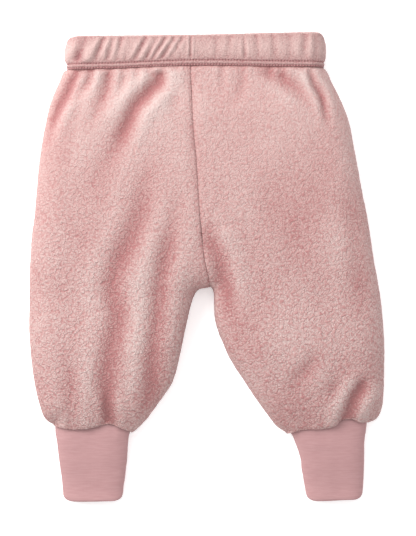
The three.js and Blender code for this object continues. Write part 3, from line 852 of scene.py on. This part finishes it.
def build_rod(name, line, half_wide, half_thick, material, n=120):
    """An overlocked allowance: a flattened rod along a line, wide in the plane of the cloth."""
    p, length = line_through(line, n)
    tangent = np.gradient(p, axis=0)
    tangent /= np.linalg.norm(tangent, axis=1, keepdims=True)
    wide = np.cross(tangent, [0, 0, 1])
    wide /= np.maximum(np.linalg.norm(wide, axis=1, keepdims=True), 1e-6)
    thick = np.cross(wide, tangent)
    along = np.linspace(0, length, n)
    ripple = 1 + 0.10 * np.sin(2 * math.pi * along / 2.4)
    ripple[[0, -1]] *= 0.6
    a = np.linspace(0, 2 * math.pi, 10, endpoint=False)
    rings = (
        p[:, None]
        + (half_wide * ripple)[:, None, None] * np.cos(a)[None, :, None] * wide[:, None]
        + (half_thick * ripple)[:, None, None] * np.sin(a)[None, :, None] * thick[:, None]
    )
    index = np.arange(n * 10).reshape(n, 10)
    nxt = np.roll(index, -1, axis=1)
    sides = np.stack([index[:-1], nxt[:-1], nxt[1:], index[1:]], axis=-1).reshape(-1, 4)
    flat = rings.reshape(-1, 3)
    ends = [index[0].tolist(), index[-1, ::-1].tolist()]
    v0, v1, v3 = flat[sides[:, 0]], flat[sides[:, 1]], flat[sides[:, 3]]
    outward = (v0 + v1 + v3) / 3 - np.repeat((p[:-1] + p[1:]) / 2, 10, axis=0)
    faces = sides.tolist() + ends
    if (outward * np.cross(v1 - v0, v3 - v0)).sum() < 0:
        faces = [f[::-1] for f in faces]
    return make_mesh(name, flat, faces, material)


def build_seams(left_front, left_back, cuff_shapes, material):
    """The seam allowances inside, each named after the CAD node it stands for."""
    made = {}
    for node_name, edge, shift in (("front_rise_seam", left_front, -1.5), ("back_rise_seam", left_back, 1.5)):
        kept = edge[(edge[:, 1] < 157.5) & (edge[:, 1] > -11.5)]
        made[node_name] = build_rod(node_name + "_overlock", kept[::3] + [0, 0, shift], 2.2, 0.7, material)
    free = {}
    for side, shape in (("left", LEFT), ("right", RIGHT)):
        line, _ = line_through(shape["free"], 160)
        tangent = np.gradient(line, axis=0)
        tangent /= np.linalg.norm(tangent, axis=1, keepdims=True)
        into = np.stack([tangent[:, 1], -tangent[:, 0]], axis=1) * (1 if side == "left" else -1)
        inside = line + 5.0 * into
        middle = BAND_LIFT * smoothstep(line[:, 1], 138, 158) + loft_of(line[:, 1]) / 2
        free[side] = np.concatenate([inside, middle[:, None]], axis=1)
        kept = free[side][(line[:, 1] < -44) & (line[:, 1] > -108)]
        made[f"{side}_inseam"] = build_rod(f"{side}_inseam_overlock", kept[::4], 1.4, 1.4, material)
    top = [p for p in free["left"][::-1] if -39.5 < p[1] and p[0] < 2.5][::3]
    top += [p for p in free["right"] if -39.5 < p[1] and p[0] > 7.5][::3]
    made["crotch_seam"] = build_rod("crotch_overlock", [tuple(p) for p in top], 1.4, 1.4, material)
    for side, shape in cuff_shapes.items():
        corners = [(0.4, 0.6), (3.6, 0.6), (3.6, 2.0), (0.4, 2.0)]  # above the cuff's top, and into it
        g = cuff_rings(shape, [(CUFF_TOP + up, inset) for up, inset in corners], 96)[:, :-1]
        overlocked = make_mesh(f"{side}_cuff_overlock", g.reshape(-1, 3), ring_faces(g), material)
        made[f"{side}_cuff_seam"] = overlocked
        edge, inward = (shape["high"], -1) if side == "left" else (shape["low"], 1)
        inside = inward * (CUFF_WALL + 1.9)
        line = [(float(edge(y)) + inside, y, 10.5 - 3.0 * (y < -150)) for y in (-125, -140, -160, -180)]
        made[f"{side}_cuff_join_seam"] = build_rod(f"{side}_cuff_join", line, 0.7, 0.7, material)
    return made


# ---- Cuffs ----
CUFF_LEVELS = [-190, -184, -178, -165, -150, -135, -128, -118]
CUFFS = {
    "left": {
        "low": monotone(CUFF_LEVELS, [-113.6, -113.8, -114.2, -115.2, -116.8, -118.6, -119.4, -119.6]),
        "high": monotone(CUFF_LEVELS, [-66.2, -66.0, -65.8, -64.6, -62.8, -61.0, -59.6, -59.2]),
        "end": (-185.6, -185.4),
    },
    "right": {
        "low": monotone(CUFF_LEVELS, [79.6, 79.4, 78.8, 77.0, 75.0, 69.6, 65.8, 64.8]),
        "high": monotone(CUFF_LEVELS, [124.2, 124.4, 124.8, 125.2, 125.2, 125.8, 126.8, 127.6]),
        "end": (-185.0, -184.2),
    },
}
CUFF_TOP = -118.0


def cuff_section(shape, y, inset, columns):
    """A flattened tube's outline at level y: x and z for each column, starting at the left edge."""
    sink = smoothstep(y, -181, -128)
    rise = smoothstep(y, CUFF_TOP - 62, CUFF_TOP)
    height = CUFF_END_LOFT + (CUFF_LOFT - CUFF_END_LOFT) * rise - 2 * inset
    base = CUFF_BASE * sink + inset
    low, high = float(shape["low"](y)) + inset, float(shape["high"](y)) - inset
    half, middle = (high - low) / 2, (high + low) / 2
    a = math.pi - np.linspace(0, 2 * math.pi, columns, endpoint=False)
    power = 2 / 2.2
    cx, cz = np.cos(a), np.sin(a)
    x = middle + half * np.sign(cx) * np.abs(cx) ** (0.55 * power)
    z = base + height / 2 + height / 2 * np.sign(cz) * np.abs(cz) ** power
    return x, z


def cuff_rings(shape, levels, columns):
    """A grid of the cuff's outlines at pairs of a level and an inset."""
    rings = []
    for y, inset in levels:
        x, z = cuff_section(shape, y, inset, columns)
        rings.append(np.stack([x, np.full(columns, y), z], axis=1))
    return np.array(rings)


def build_cuff(name, shape, material, seed):
    """A doubled knit tube: down its outer face, round the free edge, up inside, and between the layers."""
    columns = 132
    end_low, end_high = shape["end"]
    bottom = (end_low + end_high) / 2
    round_end = CUFF_WALL / 2
    level = lambda f: CUFF_TOP + (bottom + round_end - CUFF_TOP) * f
    down, turn = np.linspace(0, 1, 46), np.linspace(0, math.pi, 8)[1:-1]
    levels = [(level(f), 0.0) for f in down]
    levels += [(bottom + round_end * (1 - math.sin(a)), round_end * (1 - math.cos(a))) for a in turn]
    levels += [(level(f), CUFF_WALL) for f in down[::-2]]
    # Between the two layers: down to the fold, and up again.
    levels += [(level(f), CUFF_WALL - KNIT) for f in np.linspace(0, 1, 6)]
    levels += [(level(f), KNIT) for f in np.linspace(1, 0, 6)]
    g = cuff_rings(shape, levels, columns)
    # Spread the columns evenly round each ring.
    for k in range(len(g)):
        ring = np.concatenate([g[k], g[k][:1]])
        run = np.concatenate([[0], np.cumsum(np.linalg.norm(np.diff(ring, axis=0), axis=1))])
        even = np.linspace(0, run[-1], columns, endpoint=False)
        g[k] = np.stack([np.interp(even, run, ring[:, c]) for c in range(3)], axis=1)
    n = grid_normals(g, (10, columns // 4), closed_columns=True)
    p = g.reshape(-1, 3)
    soft = 0.8 * noise(p * [1, 0.35, 1], 17, seed) + 0.22 * noise(p * [0.4, 1, 0.4], 6.5, seed + 1)
    deeper = len(g) - len(down) - len(turn)
    outside = np.concatenate([np.ones(len(down)), np.linspace(1, 0.3, len(turn)), np.full(deeper, 0.3)])
    from_top = CUFF_TOP - g[..., 1]
    puckers = 0.5 * noise(p * [1, 0.05, 1], 4.0, seed + 3).reshape(g.shape[:2])
    relief = soft.reshape(g.shape[:2]) + puckers * np.exp(-np.clip(from_top, 0, None) / 9)
    relief += 0.5 * np.sin(math.pi * np.clip((from_top - 6) / 52, 0, 1)) * (n[..., 2] > 0.3)
    g = g + n * (relief * outside[:, None])[..., None]
    # Rounded corners at the free edge, and the edge's own slight slope.
    width = shape["high"](g[..., 1]) - shape["low"](g[..., 1])
    mid = (shape["high"](g[..., 1]) + shape["low"](g[..., 1])) / 2
    share = np.clip(np.abs(g[..., 0] - mid) / (width / 2), 0, 1)
    near_end = smoothstep(-g[..., 1], -(bottom + 24), -bottom)
    corner = 1 - np.sqrt(np.clip(1 - np.clip((share - 0.62) / 0.38, 0, 1) ** 2, 0, 1))
    g[..., 1] += near_end**1.5 * 5.5 * corner
    g[..., 1] += near_end * (end_high - end_low) * ((g[..., 0] - mid) / width)
    g[..., 2] = np.maximum(g[..., 2], 0.05)
    return make_mesh(name, g.reshape(-1, 3), ring_faces(g), material)


# ---- Pieces ----
left_panel, left_front, left_back = build_panel(LEFT, LEFT_FOLDS, "left_panel_cloth", fleece, 100)
right_panel, _, _ = build_panel(RIGHT, RIGHT_FOLDS, "right_panel_cloth", fleece, 200)
band = build_band("waistband_cloth", band_fleece)
rows_of_stitches = [
    build_stitches("waist_stitches_lower", STITCH_ROWS[0], thread),
    build_stitches("waist_stitches_upper", STITCH_ROWS[1], thread),
]
elastic_loop = build_elastic("waist_elastic_loop", elastic)
cuffs = {}
for side, seed in (("left", 300), ("right", 400)):
    cuffs[side] = build_cuff(f"{side}_cuff_knit", CUFFS[side], knit, seed)

for side, panel in (("left", left_panel), ("right", right_panel)):
    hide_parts(f"{side}_panel_seat", f"{side}_panel_leg")
    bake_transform(panel)
    cuff = cuffs[side]
    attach(cuff, f"{side}_leg")
    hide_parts(f"{side}_cuff")
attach(band, "seat")
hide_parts("waistband")
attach(elastic_loop, "seat")
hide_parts("waist_elastic")
for row, node in zip(rows_of_stitches, ("waist_stitch_lower", "waist_stitch_upper")):
    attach(row, "seat")
    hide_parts(node)

for node_name, piece in build_seams(left_front, left_back, CUFFS, overlock).items():
    on_leg = node_name.startswith(("left", "right"))
    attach(piece, node_name.split("_")[0] + "_leg" if on_leg else "seat")
    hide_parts(node_name)

kept = {"size_label": label}
for node_name, node_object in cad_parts.items():
    if node_object.hide_render:
        continue
    finish_of = kept.get(node_name, overlock)
    if node_object.data.materials:
        node_object.material_slots[0].material = finish_of
    else:
        node_object.data.materials.append(finish_of)


# ---- Stage ----
def build_floor():
    """A white surface under the cloth."""
    m = Material("floor_paper")
    grain = m.texture(m.node("ShaderNodeTexCoord").outputs["Object"], 6.0)["Fac"]
    m.color(grain, [(0.3, (0.93, 0.93, 0.93)), (0.7, (0.95, 0.95, 0.95))])
    m.surface(Roughness=0.9, Specular_IOR_Level=0.1)
    m.surface(Emission_Color=(1, 1, 1, 1), Emission_Strength=0.35)  # a light table: faint shadows
    mesh = bpy.data.meshes.new("floor")
    corners = [(x, y, -0.0002) for x, y in ((-4, -4), (4, -4), (4, 4), (-4, 4))]
    mesh.from_pydata(corners, [], [(0, 1, 2, 3)])
    mesh.materials.append(m.made)
    floor = add_object("floor", mesh)


def area_light(name, place, target, size, power, color):
    """A round lamp at a place in metres, turned to its target."""
    data = bpy.data.lights.new(name, "AREA")
    data.shape, data.size, data.energy, data.color = "DISK", size, power, color
    lamp = add_object(name, data)
    lamp.location = place
    direction = np.array(target) - np.array(place)
    lamp.rotation_euler = Vector(direction).to_track_quat("-Z", "Y").to_euler()


build_floor()
area_light("key", (-0.80, 0.66, 0.80), (-0.03, 0.02, 0), 1.3, 25, (1.0, 0.99, 0.975))
area_light("fill", (1.3, -0.4, 1.5), (0, 0, 0), 1.6, 7, (0.97, 0.985, 1.0))
area_light("top", (0.0, 0.3, 2.4), (0, 0, 0), 1.6, 14, (1, 1, 1))
world = bpy.data.worlds.new("studio")
world.use_nodes = True
world.node_tree.nodes["Background"].inputs[0].default_value = (1, 1, 1, 1)
world.node_tree.nodes["Background"].inputs[1].default_value = 0.55
bpy.context.scene.world = world
bpy.context.scene.view_settings.view_transform = "Standard"

PICTURE_HEIGHT_M = 0.4234  # what the view's long side covers at the middle of the cloth
CAMERA_HEIGHT_M = 1.9
camera_data = bpy.data.cameras.new("camera")
camera_data.sensor_width = 36
camera_data.lens = 36 * (CAMERA_HEIGHT_M - 0.018) / PICTURE_HEIGHT_M
camera = add_object("camera", camera_data)
camera.location = (0.0016, -0.0004, CAMERA_HEIGHT_M)
bpy.context.scene.camera = camera
